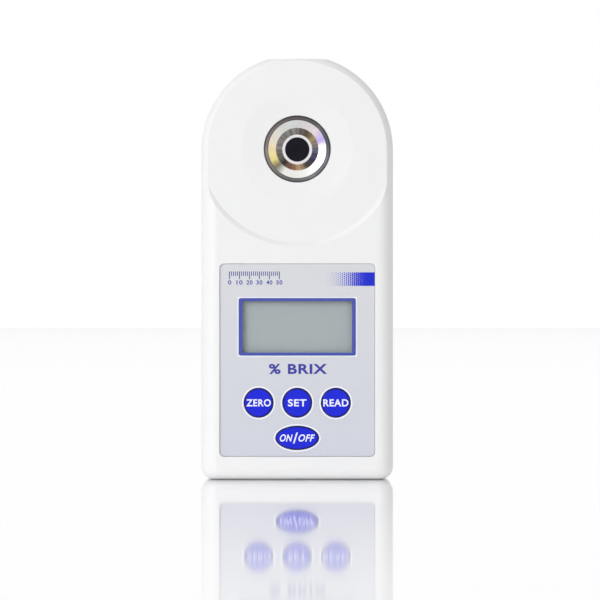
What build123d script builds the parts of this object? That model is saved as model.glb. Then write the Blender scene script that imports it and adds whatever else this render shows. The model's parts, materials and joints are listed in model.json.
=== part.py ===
from build123d import *
import os
from math import cos, radians, sin, sqrt, tan

# Digital brix meter, in millimetres. It stands on its flat lower end: X across, Y from front to back, Z up.
# The origin is the middle of the lower end. The control panel and the sample well face -Y.

os.makedirs("parts", exist_ok=True)

# Case
WIDTH = 58.0
WALL = 2.2
EDGE_R = 4.8
BOTTOM_R = 3.8
CROWN_CUT = 1.5
FRONT_DEPTH = 15.0
SMALLEST_R = 0.3

# Gaps between pieces that stay still, and the depth by which a rib or boss grows out of its wall
FIT = 0.1
WELD = 0.5

# Joint between the two halves of the case
TONGUE_T = 1.1
TONGUE_H = 1.6
GASKET_W = 0.8
GASKET_T = 0.9

# Control panel, from its lower edge upwards
PANEL_BOTTOM = 6.9
PANEL_SIDE = 5.55
PANEL_CORNER_R = 1.5
PANEL_POCKET = 1.0
OVERLAY_T = 0.5
POWER_KEY_RISE = 2.25
POWER_KEY_W = 12.75
POWER_KEY_H = 6.9
KEY_ROW_GAP = 2.85
KEY_D = 8.6
KEY_SPACING = 3.05
LEGEND_GAP = 10.0
DISPLAY_W = 33.1
DISPLAY_H = 15.6
FRAME_SIDE = 1.05
FRAME_END = 0.8
FRAME_RISE = 0.1
FRAME_CORNER_R = 0.6
PANEL_HEADROOM = 10.5

# Keys and their switches
KEY_SINK = 0.05
KEY_EDGE_R = 0.35
KEY_FIT = 0.25
FLANGE_W = 0.9
FLANGE_T = 0.8
POST_R = 1.4
KEY_TRAVEL = 0.4
SWITCH_SIDE = 6.0
SWITCH_H = 2.4
PLUNGER_R = 1.7
PLUNGER_OUT = 1.0
PLUNGER_IN = 1.0
PLUNGER_FIT = 0.08
BORE_SPARE = 0.3

# Display stack behind the panel
PANE_EDGE = 0.6
PANE_T = 1.0
GLASS_SIDE = 1.7
GLASS_END = 2.7
LCD_T = 2.8
LCD_LEDGE = 2.2
LCD_FRONT_T = 1.1
HOLDER_WALL = 1.2
HOLDER_LEDGE = 1.5
HOLDER_CORNER_R = 1.0
STRIP_H = 2.4
STRIP_W = 1.6
STRIP_END = 1.2

# Main board
BOARD_T = 1.6
BOARD_EDGE = 1.8
BOARD_FOOT_W = 30.0
BOARD_FOOT_Z = 5.0
BOARD_MARGIN = 1.5
BOARD_SCREW_EDGE = 4.0
BOARD_BOSS_R = 2.2
BOARD_ROOM = 4.6

# Pieces on the back of the main board
CHIP_T = 1.5
CHIP_LIFT = 0.2
LEG_T = 0.5
LEG_W = 0.4
LEG_L = 1.0
LEG_PITCH = 1.0
LEGS_PER_SIDE = 8
CONTROLLER_SIDE = 10.0
CONTROLLER_PLACE = (-9.0, 45.0)
AMPLIFIER_W = 4.0
AMPLIFIER_H = 5.0
AMPLIFIER_LEGS = 4
AMPLIFIER_PLACES = [(8.0, 50.0), (8.0, 41.0)]
CAPACITOR_W = 1.3
CAPACITOR_L = 2.0
CAPACITOR_T = 0.8
CAPACITOR_PITCH = 3.0
CAPACITOR_COUNT = 6
CAPACITOR_PLACE = (4.0, 33.0)
CRYSTAL_L = 10.5
CRYSTAL_W = 4.2
CRYSTAL_H = 3.2
CRYSTAL_FLANGE_T = 0.4
CRYSTAL_FLANGE_W = 0.5
CRYSTAL_PLACE = (-9.0, 27.0)

# Battery bay, cells and contacts
CELL_D = 10.5
CELL_L = 44.5
CELL_SPACING = 1.0
CELL_FIT = 0.25
CELL_CHAMFER = 0.4
BUTTON_R = 2.4
BUTTON_L = 1.0
BAY_WALL = 1.2
BAY_END_WALL = 1.5
CONTACT_T = 0.4
CONTACT_W = 8.0
BRIDGE_W = 4.0
CONTACT_GAP = 0.2
TAIL_W = 2.0
TAIL_FIT = 0.15
SPRING_L = 4.0
SPRING_R = 3.0
WIRE_R = 0.35
SPRING_TURNS = 3.5
DIMPLE_R = 1.5

# Battery door and its hinge
DOOR_T = 1.8
DOOR_CLEARANCE = 0.55
DOOR_GAP = 0.2
DOOR_SEAT = 0.05
HINGE_Z = 8.4
BARREL_R = 1.4
TROUGH_GAP = 0.3
PIVOT_R = 0.7
PIVOT_L = 1.5
PIVOT_FIT = 0.05
DOOR_CORNER_R = 1.0
GRIP_COUNT = 4
GRIP_PITCH = 2.2
GRIP_L = 13.0
GRIP_W = 0.9
GRIP_DEPTH = 0.4
GRIP_DROP = 5.0
NOTCH_R = 7.0
NOTCH_DEPTH = 1.3

# Screws
SCREW_R = 1.0
SCREW_HEAD_R = 1.9
SCREW_HEAD_H = 1.4
SCREW_CLEARANCE = 0.15
THREAD_FIT = 0.02
DRIVE_L = 2.2
DRIVE_W = 0.5
DRIVE_DEPTH = 0.7
BOSS_R = 3.1
HEAD_CLEARANCE = 0.3
CASE_SCREW_SEAT = 2.5
CASE_SCREW_L = 8.0
CASE_SCREW_ANGLE = 33.0
BOARD_SCREW_L = 5.0
OPTICS_SCREW_L = 6.0
PILOT_SPARE = 0.2

# Head: recessed face, soft hollow and sample well
HEAD_GAP = 5.7
HEAD_OVERLAP = 1.15
RECESS_RISE = 1.55
HEAD_RECESS = 0.9
STEP_SLOPE = 1.3
WELL_RISE = 0.3
HOLLOW_W = 6.8
HOLLOW_DEPTH = 1.0
PRISM_R = 3.6
LIP_W = 0.9
CONE_W = 1.95
BAND_W = 2.3
RIM_W = 1.35
RIM_DROP = 0.8
BAND_DROP = 0.5
CONE_DROP = 2.4
PRISM_SINK = 0.15
SEAT_RISE = 0.45
SHOULDER_W = 1.5
SHOULDER_T = 1.0
RING_WALL = 2.5
DISH_FIT = 0.05
NECK_WALL = 2.3
NECK_L = 2.0
SEAL_R = 0.38
SEAL_DEPTH = 0.8
SEAL_RISE = 1.0

# Optics behind the well
PRISM_FLANGE = 1.0
PRISM_DEPTH = 4.8
RAY_TILT = 25.0
ARM_L = 8.5
ARM_LEAD_IN = 1.0
HOUSING_W = 16.0
HOUSING_BACK = 10.7
LENS_R = 2.9
LENS_T = 1.3
LENS_CURVE_R = 5.0
LENS_SEAT = 1.0
LED_R = 2.5
LED_L = 5.0
LED_FLANGE_T = 1.0
OPTICS_BOARD_T = 1.0
LIGHT_BOARD_W = 10.0
SENSOR_BOARD_W = 14.0
OPTICS_BOARD_H = 9.0
SENSOR_W = 8.0
SENSOR_H = 3.0
SENSOR_T = 1.4
EAR_R = 3.0
EAR_T = 3.0
EAR_GAP = 0.7
OPTICS_BOSS_R = 2.2
THERMISTOR_R = 1.0
THERMISTOR_L = 4.0
THERMISTOR_X = 5.8
THERMISTOR_END_WALL = 1.0
FLEX_T = 0.2
FLEX_W = 6.0
FLEX_REACH = 1.2
FLEX_BEND_R = 1.2
RIBBON_W = 8.0
CONNECTOR_W = 12.0
CONNECTOR_H = 4.0
CONNECTOR_T = 2.0

# Heights that follow from the panel
FRAME_W = DISPLAY_W + 2 * FRAME_SIDE
FRAME_H = DISPLAY_H + 2 * FRAME_END
PANEL_W = WIDTH - 2 * PANEL_SIDE
POWER_KEY_Z = PANEL_BOTTOM + POWER_KEY_RISE + POWER_KEY_H / 2
KEY_ROW_Z = POWER_KEY_Z + POWER_KEY_H / 2 + KEY_ROW_GAP + KEY_D / 2
KEY_PITCH = KEY_D + KEY_SPACING
DISPLAY_Z = KEY_ROW_Z + KEY_D / 2 + LEGEND_GAP + FRAME_H / 2
PANEL_TOP = DISPLAY_Z + FRAME_H / 2 + PANEL_HEADROOM
PANEL_H = PANEL_TOP - PANEL_BOTTOM
PANEL_Z = (PANEL_TOP + PANEL_BOTTOM) / 2
RECESS_R = WIDTH / 2 + HEAD_OVERLAP
RECESS_Z = PANEL_TOP + HEAD_GAP + RECESS_R
HEAD_Z = RECESS_Z - RECESS_RISE
WELL_Z = HEAD_Z + WELL_RISE
HEIGHT = HEAD_Z + WIDTH / 2 - CROWN_CUT

# Depths that follow from the stack of display, board, cells and door
DEPTH = (
    WALL + FIT + LCD_T + STRIP_H + BOARD_T + BOARD_ROOM + BAY_WALL + CELL_FIT + CELL_D
    + DOOR_CLEARANCE + DOOR_T
)
FRONT_Y = -DEPTH / 2
BACK_Y = DEPTH / 2
INNER_FRONT_Y = FRONT_Y + WALL
INNER_BACK_Y = BACK_Y - WALL
SPLIT_Y = FRONT_Y + FRONT_DEPTH
POCKET_Y = FRONT_Y + PANEL_POCKET
KEY_TOP_Y = FRONT_Y + KEY_SINK
FLANGE_Y = INNER_FRONT_Y + FIT
LCD_Y = INNER_FRONT_Y + FIT
BOARD_Y = LCD_Y + LCD_T + STRIP_H
BOARD_BACK_Y = BOARD_Y + BOARD_T
SWITCH_Y = BOARD_Y - SWITCH_H
PLUNGER_Y = SWITCH_Y - PLUNGER_OUT
CELL_Y = BACK_Y - DOOR_T - DOOR_CLEARANCE - CELL_D / 2
BAY_FLOOR_Y = CELL_Y - CELL_D / 2 - CELL_FIT

# Battery bay
TROUGH_R = BARREL_R + TROUGH_GAP
HINGE_Y = BACK_Y - BARREL_R
CELL_X = (CELL_D + CELL_SPACING) / 2
BAY_HALF_W = CELL_X + CELL_D / 2 + CELL_FIT
BAY_Z0 = HINGE_Z + TROUGH_R + BAY_END_WALL
BAY_Z1 = BAY_Z0 + CONTACT_T + SPRING_L + CELL_L + CONTACT_GAP + CONTACT_T
RECESS_HALF_W = BAY_HALF_W + BAY_WALL
DOOR_TOP_Z = BAY_Z1 + BAY_WALL - DOOR_GAP

# Display, board and screws
GLASS_W = DISPLAY_W + 2 * GLASS_SIDE
GLASS_H = DISPLAY_H + 2 * GLASS_END
HOLDER_W = GLASS_W + 2 * (FIT + HOLDER_WALL)
HOLDER_H = GLASS_H + 2 * (FIT + HOLDER_WALL)
STRIP_Z = GLASS_H / 2 - LCD_LEDGE / 2
STRIP_L = GLASS_W - 2 * STRIP_END
STRIP_PLACES = [(0, DISPLAY_Z - STRIP_Z), (0, DISPLAY_Z + STRIP_Z)]
SCREW_INSET = WALL + TONGUE_T + 2 * FIT + BOSS_R
BOARD_HALF_W = WIDTH / 2 - WALL - BOARD_EDGE
BOARD_SCREW_X = BOARD_HALF_W - BOARD_SCREW_EDGE
BOARD_Z0 = SCREW_INSET + BOSS_R + BOARD_MARGIN
BOARD_SCREW_RISE = HOLDER_H / 2 + BOARD_BOSS_R + BOARD_MARGIN / 2
BOARD_TOP = max(BAY_Z1 + BAY_END_WALL, DISPLAY_Z + BOARD_SCREW_RISE + BOARD_BOSS_R) + 2 * BOARD_MARGIN
CASE_SCREW_R = WIDTH / 2 - SCREW_INSET
CASE_SCREW_SEAT_Y = SPLIT_Y + CASE_SCREW_SEAT
UPPER_SCREW_X = CASE_SCREW_R * cos(radians(CASE_SCREW_ANGLE))
UPPER_SCREW_Z = HEAD_Z + CASE_SCREW_R * sin(radians(CASE_SCREW_ANGLE))
CASE_SCREWS = [
    (-CASE_SCREW_R, SCREW_INSET),
    (CASE_SCREW_R, SCREW_INSET),
    (-UPPER_SCREW_X, UPPER_SCREW_Z),
    (UPPER_SCREW_X, UPPER_SCREW_Z),
]
BOARD_SCREWS = [
    (side * BOARD_SCREW_X, DISPLAY_Z + end * BOARD_SCREW_RISE) for side in (-1, 1) for end in (-1, 1)
]

# Sample well, measured from the recessed face inwards
RECESS_Y = FRONT_Y + HEAD_RECESS
DISH_R = PRISM_R + LIP_W + CONE_W + BAND_W + RIM_W
HOLLOW_R = DISH_R + HOLLOW_W
HOLLOW_BALL_R = (HOLLOW_R**2 + HOLLOW_DEPTH**2) / (2 * HOLLOW_DEPTH)
HOLLOW_BALL_Y = RECESS_Y + HOLLOW_DEPTH - HOLLOW_BALL_R
RIM_Y = HOLLOW_BALL_Y + sqrt(HOLLOW_BALL_R**2 - DISH_R**2)
BAND_Y = RIM_Y + RIM_DROP
CONE_Y = BAND_Y + BAND_DROP
LIP_Y = CONE_Y + CONE_DROP
PRISM_Y = LIP_Y + PRISM_SINK
SEAT_Y = LIP_Y - SEAT_RISE
RING_BACK_Y = SEAT_Y + SHOULDER_T
SHOULDER_R = DISH_R - SHOULDER_W
RING_R = DISH_R + RING_WALL
NECK_R = PRISM_R + FIT + NECK_WALL
NECK_END_Y = SEAT_Y + NECK_L
SEAL_Y = SEAT_Y - SEAL_RISE

# Optics: two arms leave the prism's sloping faces, one upwards and one downwards
BLOCK_Y = NECK_END_Y + FIT
BLOCK_HALF_H = PRISM_R + PRISM_FLANGE
FACE_Y = BLOCK_Y + PRISM_DEPTH / 2
FACE_Z = BLOCK_HALF_H - PRISM_DEPTH / 2 * tan(radians(RAY_TILT))
ARM_R = LENS_R + FIT
HOUSING_BACK_Y = RING_BACK_Y + HOUSING_BACK
EAR_X = RING_R + EAR_GAP + OPTICS_BOSS_R
EAR_BACK_Y = RING_BACK_Y + EAR_T
EARS = [(-EAR_X, WELL_Z), (EAR_X, WELL_Z)]
WELL_CENTRE = (0, WELL_Z)
WELL_AXIS = Axis((0, 0, WELL_Z), (0, 1, 0))
THERMISTOR_PLACE = (THERMISTOR_X, WELL_Z)
TILT_SIN = sin(radians(RAY_TILT))
TILT_COS = cos(radians(RAY_TILT))
FLEX_OUT = ARM_L + OPTICS_BOARD_T + FLEX_T / 2
RIBBON_Y = BOARD_BACK_Y + CONNECTOR_T / 2
RIBBON_TURN = (RIBBON_Y - FACE_Y - FLEX_OUT * TILT_SIN) / TILT_COS

KEY_PLACES = {
    "left": (-KEY_PITCH, KEY_ROW_Z),
    "middle": (0, KEY_ROW_Z),
    "right": (KEY_PITCH, KEY_ROW_Z),
    "power": (0, POWER_KEY_Z),
}


def facing(y):
    """Sketch plane at depth y as seen from the front: X to the right, Z up, extruding towards the front."""
    return Plane.XZ.offset(-y)


def box_outline(u0, u1, v0, v1, mode=Mode.ADD):
    """Rectangle between two limits along each direction of the open sketch."""
    with Locations(((u0 + u1) / 2, (v0 + v1) / 2)):
        Rectangle(u1 - u0, v1 - v0, mode=mode)


def discs(places, radius, mode=Mode.ADD):
    """Equal circles at the given places, drawn in the open sketch."""
    with Locations(*places):
        Circle(radius, mode=mode)


def key_outline(key, grow=0.0, mode=Mode.ADD):
    """Outline of one key, drawn in the open sketch."""
    with Locations(KEY_PLACES[key]):
        if key == "power":
            Ellipse(POWER_KEY_W / 2 + grow, POWER_KEY_H / 2 + grow, mode=mode)
        else:
            Circle(KEY_D / 2 + grow, mode=mode)


def case_section(inset):
    """Rounded cross-section of the case, drawn in the open sketch."""
    RectangleRounded(WIDTH - 2 * inset, DEPTH - 2 * inset, max(EDGE_R - inset, SMALLEST_R))


def case_form(inset):
    """Solid form of the case: a straight body below and half a turn of its section for the round head."""
    with BuildPart() as form:
        with BuildSketch(Plane.XY.offset(inset)):
            case_section(inset)
        extrude(amount=HEAD_Z - inset)
        fillet(form.faces().sort_by(Axis.Z)[0].edges(), max(BOTTOM_R - inset, SMALLEST_R))
        with BuildSketch(Plane.XY.offset(HEAD_Z)):
            case_section(inset)
            with Locations((-WIDTH / 2, 0)):
                Rectangle(WIDTH, DEPTH, mode=Mode.SUBTRACT)
        revolve(axis=Axis((0, 0, HEAD_Z), (0, -1, 0)), revolution_arc=180)
        split(bisect_by=Plane.XY.offset(HEIGHT - inset), keep=Keep.BOTTOM)
    return form.part


def case_outline(inset):
    """Front view of the case at the joint, drawn inset from its outside."""
    half = WIDTH / 2 - inset
    with BuildSketch() as outline:
        box_outline(-half, half, inset, HEAD_Z)
        fillet(outline.vertices().sort_by(Axis.Y)[:2], max(BOTTOM_R - inset, SMALLEST_R))
        with Locations((0, HEAD_Z)):
            Circle(half)
        box_outline(-half, half, HEIGHT - inset, HEIGHT + half, mode=Mode.SUBTRACT)
    return outline.sketch


def joint_ring(outer_inset, inner_inset):
    """Ring that follows the joint between two insets, drawn in the open sketch."""
    add(case_outline(outer_inset))
    add(case_outline(inner_inset), mode=Mode.SUBTRACT)


def arm_plane(side, distance):
    """Plane across the upper (1) or lower (-1) optical arm, at a distance from the prism's face."""
    return Plane(
        origin=(0, FACE_Y + distance * TILT_SIN, WELL_Z + side * (FACE_Z + distance * TILT_COS)),
        x_dir=(1, 0, 0),
        z_dir=(0, TILT_SIN, side * TILT_COS),
    )


def board_point(side, along):
    """Depth and height of a point on the outside of an arm's board, measured along it towards the back."""
    rise = FACE_Z + FLEX_OUT * TILT_COS - along * TILT_SIN
    return (FACE_Y + FLEX_OUT * TILT_SIN + along * TILT_COS, WELL_Z + side * rise)


def end_height(y):
    """Height of the housing's sloping end above the well's axis, at depth y."""
    slope_y = FACE_Y + ARM_L * TILT_SIN
    return FACE_Z + ARM_L * TILT_COS - (y - slope_y) * TILT_SIN / TILT_COS


def prism_section(grow):
    """Side view of the prism's block, drawn in the open sketch."""
    back_half = BLOCK_HALF_H - PRISM_DEPTH * TILT_SIN / TILT_COS
    Polygon(
        (BLOCK_Y, WELL_Z - BLOCK_HALF_H),
        (BLOCK_Y, WELL_Z + BLOCK_HALF_H),
        (BLOCK_Y + PRISM_DEPTH, WELL_Z + back_half),
        (BLOCK_Y + PRISM_DEPTH, WELL_Z - back_half),
        align=None,
    )
    if grow:
        offset(amount=grow, kind=Kind.INTERSECTION)


def contact_outline(side):
    """Square plate behind one cell's end, drawn in the open sketch from above."""
    x = side * CELL_X
    box_outline(x - CONTACT_W / 2, x + CONTACT_W / 2, BAY_FLOOR_Y + CELL_FIT, CELL_Y + CONTACT_W / 2)


def write(piece, name):
    """Label a finished piece and write it to its own file."""
    piece.part.label = name
    export_step(piece.part, f"parts/{name}.step")
    print(name, round(piece.part.volume, 1))


# Front half of the case
with BuildPart() as front_cover:
    add(case_form(0))
    add(case_form(WALL), mode=Mode.SUBTRACT)
    split(bisect_by=facing(SPLIT_Y), keep=Keep.TOP)
    with BuildSketch(facing(SPLIT_Y)):
        discs(CASE_SCREWS, BOSS_R)
    extrude(amount=SPLIT_Y - INNER_FRONT_Y + WELD)
    with BuildSketch(facing(BOARD_Y)):
        discs(BOARD_SCREWS, BOARD_BOSS_R)
    extrude(amount=BOARD_Y - INNER_FRONT_Y + WELD)
    with BuildSketch(facing(RING_BACK_Y)):
        discs([WELL_CENTRE], RING_R)
        discs(EARS, OPTICS_BOSS_R)
    extrude(amount=RING_BACK_Y - INNER_FRONT_Y + WELD)
    # Recessed face of the head, with a sloping step
    with Locations(Location((0, FRONT_Y + HEAD_RECESS / 2, RECESS_Z), (90, 0, 0))):
        Cone(RECESS_R - STEP_SLOPE / 2, RECESS_R + STEP_SLOPE / 2, HEAD_RECESS, mode=Mode.SUBTRACT)
    # Soft hollow round the well
    with Locations((0, HOLLOW_BALL_Y, WELL_Z)):
        Sphere(HOLLOW_BALL_R, mode=Mode.SUBTRACT)
    with BuildSketch(facing(SEAT_Y)):
        discs([WELL_CENTRE], DISH_R + DISH_FIT)
    extrude(amount=SEAT_Y - FRONT_Y, mode=Mode.SUBTRACT)
    with BuildSketch(facing(RING_BACK_Y)):
        discs([WELL_CENTRE], SHOULDER_R)
    extrude(amount=RING_BACK_Y - FRONT_Y, mode=Mode.SUBTRACT)
    # Pocket for the panel, and openings behind it
    with BuildSketch(facing(POCKET_Y)):
        with Locations((0, PANEL_Z)):
            RectangleRounded(PANEL_W, PANEL_H, PANEL_CORNER_R)
    extrude(amount=PANEL_POCKET, mode=Mode.SUBTRACT)
    with BuildSketch(facing(INNER_FRONT_Y)):
        with Locations((0, DISPLAY_Z)):
            Rectangle(DISPLAY_W + 2 * (PANE_EDGE + FIT), DISPLAY_H + 2 * (PANE_EDGE + FIT))
        for key in KEY_PLACES:
            key_outline(key, KEY_FIT)
    extrude(amount=WALL, mode=Mode.SUBTRACT)
    # Pilot holes for the screws
    with BuildSketch(facing(SPLIT_Y)):
        discs(CASE_SCREWS, SCREW_R + THREAD_FIT)
    extrude(amount=CASE_SCREW_L - CASE_SCREW_SEAT + PILOT_SPARE, mode=Mode.SUBTRACT)
    with BuildSketch(facing(BOARD_Y)):
        discs(BOARD_SCREWS, SCREW_R + THREAD_FIT)
    extrude(amount=BOARD_SCREW_L - BOARD_T + PILOT_SPARE, mode=Mode.SUBTRACT)
    with BuildSketch(facing(RING_BACK_Y)):
        discs(EARS, SCREW_R + THREAD_FIT)
    extrude(amount=OPTICS_SCREW_L - EAR_T + PILOT_SPARE, mode=Mode.SUBTRACT)
    # Groove for the gasket
    with BuildSketch(facing(SPLIT_Y)):
        joint_ring((WALL - GASKET_W) / 2 - FIT, (WALL + GASKET_W) / 2 + FIT)
    extrude(amount=GASKET_T, mode=Mode.SUBTRACT)
write(front_cover, "front_cover")

# Rear half of the case, with the battery bay, the screw tubes and the hinge sockets
with BuildPart() as rear_cover:
    add(case_form(0))
    add(case_form(WALL), mode=Mode.SUBTRACT)
    split(bisect_by=facing(SPLIT_Y), keep=Keep.BOTTOM)
    with BuildSketch(facing(SPLIT_Y + WALL)):
        joint_ring(WALL / 2, WALL + FIT + TONGUE_T)
    extrude(amount=WALL)
    with BuildSketch(facing(SPLIT_Y + WALL)):
        joint_ring(WALL + FIT, WALL + FIT + TONGUE_T)
    extrude(amount=WALL + TONGUE_H)
    with BuildSketch(facing(INNER_BACK_Y + WELD)):
        discs(CASE_SCREWS, BOSS_R)
    extrude(amount=INNER_BACK_Y + WELD - SPLIT_Y)
    with BuildSketch(facing(INNER_BACK_Y + WELD)):
        box_outline(-RECESS_HALF_W, RECESS_HALF_W, BAY_Z0 - BAY_END_WALL, BAY_Z1 + BAY_END_WALL)
    extrude(amount=INNER_BACK_Y + WELD - BAY_FLOOR_Y + BAY_WALL)
    with BuildSketch(facing(INNER_BACK_Y + WELD)):
        box_outline(
            -RECESS_HALF_W - PIVOT_L - BAY_WALL,
            RECESS_HALF_W + PIVOT_L + BAY_WALL,
            HINGE_Z - TROUGH_R - BAY_WALL,
            HINGE_Z + TROUGH_R + BAY_WALL,
        )
    extrude(amount=INNER_BACK_Y + WELD - HINGE_Y + TROUGH_R + BAY_WALL)
    # Bay, and the step that the door closes on
    with BuildSketch(facing(BACK_Y)):
        box_outline(-BAY_HALF_W, BAY_HALF_W, BAY_Z0, BAY_Z1)
    extrude(amount=BACK_Y - BAY_FLOOR_Y, mode=Mode.SUBTRACT)
    with BuildSketch(facing(BACK_Y)) as door_recess:
        box_outline(-RECESS_HALF_W, RECESS_HALF_W, HINGE_Z - TROUGH_R, BAY_Z1 + BAY_WALL)
        fillet(door_recess.vertices().sort_by(Axis.Y)[-2:], DOOR_CORNER_R + DOOR_GAP)
    extrude(amount=DOOR_T + DOOR_SEAT, mode=Mode.SUBTRACT)
    # Trough that the hinge barrel turns in, and a socket at each end of it
    with BuildSketch(Plane.YZ):
        with Locations((HINGE_Y, HINGE_Z)):
            Circle(TROUGH_R)
    extrude(amount=RECESS_HALF_W, both=True, mode=Mode.SUBTRACT)
    with BuildSketch(Plane.YZ):
        with Locations((HINGE_Y, HINGE_Z)):
            Circle(PIVOT_R + PIVOT_FIT)
    extrude(amount=RECESS_HALF_W + PIVOT_L, both=True, mode=Mode.SUBTRACT)
    # Slots for the contact tails
    with BuildSketch(facing(BAY_FLOOR_Y)):
        for side in (-1, 1):
            box_outline(
                side * CELL_X - TAIL_W / 2 - TAIL_FIT,
                side * CELL_X + TAIL_W / 2 + TAIL_FIT,
                BAY_Z1 - CONTACT_T - TAIL_FIT,
                BAY_Z1,
            )
    extrude(amount=BAY_WALL, mode=Mode.SUBTRACT)
    # Screw holes with deep counterbores
    with BuildSketch(facing(BACK_Y)):
        discs(CASE_SCREWS, SCREW_HEAD_R + HEAD_CLEARANCE)
    extrude(amount=BACK_Y - CASE_SCREW_SEAT_Y, mode=Mode.SUBTRACT)
    with BuildSketch(facing(CASE_SCREW_SEAT_Y)):
        discs(CASE_SCREWS, SCREW_R + SCREW_CLEARANCE)
    extrude(amount=CASE_SCREW_SEAT, mode=Mode.SUBTRACT)
    # Finger notch above the door
    with Locations((0, BACK_Y + NOTCH_R - NOTCH_DEPTH, BAY_Z1 + BAY_WALL)):
        Sphere(NOTCH_R, mode=Mode.SUBTRACT)
write(rear_cover, "rear_cover")

# Gasket in the groove between the two halves
with BuildPart() as case_gasket:
    with BuildSketch(facing(SPLIT_Y)):
        joint_ring((WALL - GASKET_W) / 2, (WALL + GASKET_W) / 2)
    extrude(amount=GASKET_T)
write(case_gasket, "case_gasket")

# Battery door: a plate with a hinge barrel along its lower edge and a pivot at each end
with BuildPart() as battery_door:
    with BuildSketch(facing(BACK_Y)) as door_plate:
        box_outline(DOOR_GAP - RECESS_HALF_W, RECESS_HALF_W - DOOR_GAP, HINGE_Z, DOOR_TOP_Z)
        fillet(door_plate.vertices().sort_by(Axis.Y)[-2:], DOOR_CORNER_R)
    extrude(amount=DOOR_T)
    with BuildSketch(Plane.YZ):
        discs([(HINGE_Y, HINGE_Z)], BARREL_R)
    extrude(amount=RECESS_HALF_W - DOOR_GAP, both=True)
    with BuildSketch(Plane.YZ):
        discs([(HINGE_Y, HINGE_Z)], PIVOT_R)
    extrude(amount=RECESS_HALF_W + PIVOT_L - DOOR_GAP, both=True)
    # Grooves that a thumb grips
    with BuildSketch(facing(BACK_Y)):
        with Locations((0, DOOR_TOP_Z - GRIP_DROP - GRIP_PITCH * (GRIP_COUNT - 1) / 2)):
            with GridLocations(0, GRIP_PITCH, 1, GRIP_COUNT):
                SlotOverall(GRIP_L, GRIP_W)
    extrude(amount=GRIP_DEPTH, mode=Mode.SUBTRACT)
write(battery_door, "battery_door")

# Silver panel, with cut-outs for the display frame and the keys
with BuildPart() as panel_overlay:
    with BuildSketch(facing(POCKET_Y)):
        with Locations((0, PANEL_Z)):
            RectangleRounded(PANEL_W - 2 * FIT, PANEL_H - 2 * FIT, PANEL_CORNER_R)
        with Locations((0, DISPLAY_Z)):
            RectangleRounded(FRAME_W + 2 * FIT, FRAME_H + 2 * FIT, FRAME_CORNER_R, mode=Mode.SUBTRACT)
        for key in KEY_PLACES:
            key_outline(key, KEY_FIT, mode=Mode.SUBTRACT)
    extrude(amount=OVERLAY_T)
write(panel_overlay, "panel_overlay")

# Blue frame round the display
with BuildPart() as display_frame:
    with BuildSketch(facing(POCKET_Y)):
        with Locations((0, DISPLAY_Z)):
            RectangleRounded(FRAME_W, FRAME_H, FRAME_CORNER_R)
            Rectangle(DISPLAY_W, DISPLAY_H, mode=Mode.SUBTRACT)
    extrude(amount=OVERLAY_T + FRAME_RISE)
write(display_frame, "display_frame")

# Clear pane behind the frame
with BuildPart() as lcd_window:
    with BuildSketch(facing(POCKET_Y + PANE_T)):
        with Locations((0, DISPLAY_Z)):
            Rectangle(DISPLAY_W + 2 * PANE_EDGE, DISPLAY_H + 2 * PANE_EDGE)
    extrude(amount=PANE_T)
write(lcd_window, "lcd_window")

# Liquid crystal cell: the front glass is taller than the back glass, and carries the contacts
with BuildPart() as lcd_glass:
    with BuildSketch(facing(LCD_Y + LCD_FRONT_T)):
        with Locations((0, DISPLAY_Z)):
            Rectangle(GLASS_W, GLASS_H)
    extrude(amount=LCD_FRONT_T)
    with BuildSketch(facing(LCD_Y + LCD_T)):
        with Locations((0, DISPLAY_Z)):
            Rectangle(GLASS_W, GLASS_H - 2 * LCD_LEDGE)
    extrude(amount=LCD_T - LCD_FRONT_T)
write(lcd_glass, "lcd_glass")

# Rubber strips that join the display's contacts to the board
with BuildPart() as zebra_strips:
    with BuildSketch(facing(BOARD_Y)):
        with Locations(*STRIP_PLACES):
            Rectangle(STRIP_L, STRIP_W)
    extrude(amount=BOARD_Y - LCD_Y - LCD_FRONT_T)
write(zebra_strips, "zebra_strips")

# Holder that keeps the display square on the board
with BuildPart() as lcd_holder:
    with BuildSketch(facing(BOARD_Y)):
        with Locations((0, DISPLAY_Z)):
            RectangleRounded(HOLDER_W, HOLDER_H, HOLDER_CORNER_R)
    extrude(amount=BOARD_Y - LCD_Y)
    with BuildSketch(facing(LCD_Y + LCD_T)):
        with Locations((0, DISPLAY_Z)):
            Rectangle(GLASS_W + 2 * FIT, GLASS_H + 2 * FIT)
    extrude(amount=LCD_T, mode=Mode.SUBTRACT)
    with BuildSketch(facing(BOARD_Y)):
        with Locations(*STRIP_PLACES):
            Rectangle(STRIP_L + 2 * FIT, STRIP_W + 2 * FIT)
        with Locations((0, DISPLAY_Z)):
            Rectangle(GLASS_W - 2 * HOLDER_LEDGE, 2 * STRIP_Z - STRIP_W - 2 * HOLDER_LEDGE)
    extrude(amount=STRIP_H, mode=Mode.SUBTRACT)
write(lcd_holder, "lcd_holder")

# Main board, with a foot between the lower screw bosses
with BuildPart() as main_board:
    with BuildSketch(facing(BOARD_BACK_Y)):
        box_outline(-BOARD_HALF_W, BOARD_HALF_W, BOARD_Z0, BOARD_TOP)
        box_outline(-BOARD_FOOT_W / 2, BOARD_FOOT_W / 2, BOARD_FOOT_Z, BOARD_Z0)
        discs(BOARD_SCREWS, SCREW_R + SCREW_CLEARANCE, mode=Mode.SUBTRACT)
    extrude(amount=BOARD_T)
write(main_board, "main_board")

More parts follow.
